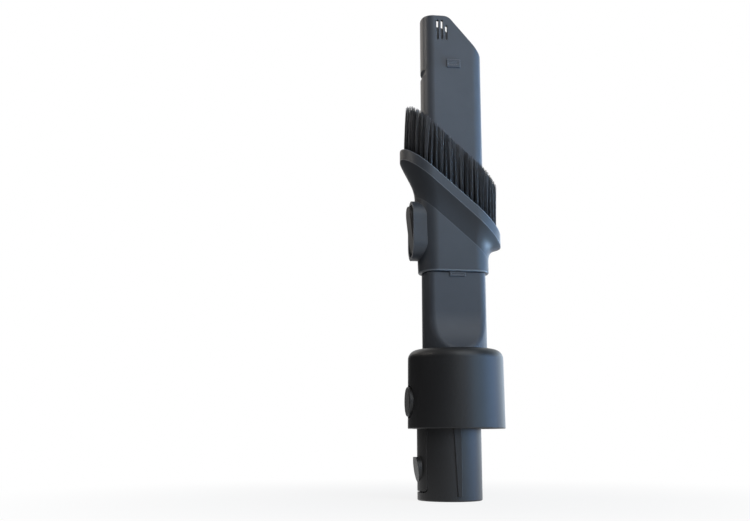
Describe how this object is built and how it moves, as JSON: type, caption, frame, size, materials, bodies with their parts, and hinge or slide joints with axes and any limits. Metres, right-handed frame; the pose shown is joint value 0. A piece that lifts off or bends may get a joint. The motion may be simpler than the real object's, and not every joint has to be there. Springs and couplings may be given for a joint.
{
  "type": "vacuum nozzle",
  "caption": "Dark slate crevice nozzle with a slanted mouth, a sliding tilted dusting brush locked by a rocker button, and a quick-release spigot with a press button.",
  "frame": {"origin": "centre of the spigot's open end, on the spigot's axis", "axes": "+Z along the tube towards the slanted mouth, -X towards the release button and the slide button, -Y the front with the bleed slots and stops"},
  "size_m": [0.0555, 0.0516, 0.2675],
  "materials": {
    "slate_plastic": "satin",
    "coupling_plastic": "satin",
    "button_plastic": "satin",
    "bristle": "matte",
    "steel": "satin"
  },
  "bodies": {
    "nozzle": {"nozzle_tube": "slate_plastic", "coupling_spigot": "coupling_plastic", "coupling_collar": "coupling_plastic", "lever_pin": "steel", "lever_spring": "steel"},
    "brush": {"brush_carrier": "slate_plastic", "brush_ring": "coupling_plastic", "tufts_outer": "bristle", "tufts_inner": "bristle", "slide_button_pin": "steel", "latch_spring": "steel"},
    "rocker": {"slide_button": "button_plastic"},
    "lever": {"release_lever": "button_plastic"}
  },
  "joints": [
    {"name": "brush_slide", "type": "slide", "parent": "nozzle", "child": "brush", "axis": [0, 0, 1], "range_m": [0, 0.0999], "deforming": ["latch_spring"]},
    {"name": "slide_button_press", "type": "hinge", "parent": "brush", "child": "rocker", "pos_m": [-0.0176, 0, 0.1434], "axis": [0, 1, 0], "range_deg": [0, 7.5], "stiffness_Nm_per_rad": 0.2, "springref_deg": -5.73, "deforming": ["latch_spring"]},
    {"name": "release_lever_press", "type": "hinge", "parent": "nozzle", "child": "lever", "pos_m": [-0.0158, 0, 0.0705], "axis": [0, -1, 0], "range_deg": [0, 3.2], "stiffness_Nm_per_rad": 1, "springref_deg": -4.58, "deforming": ["lever_spring"]}
  ]
}
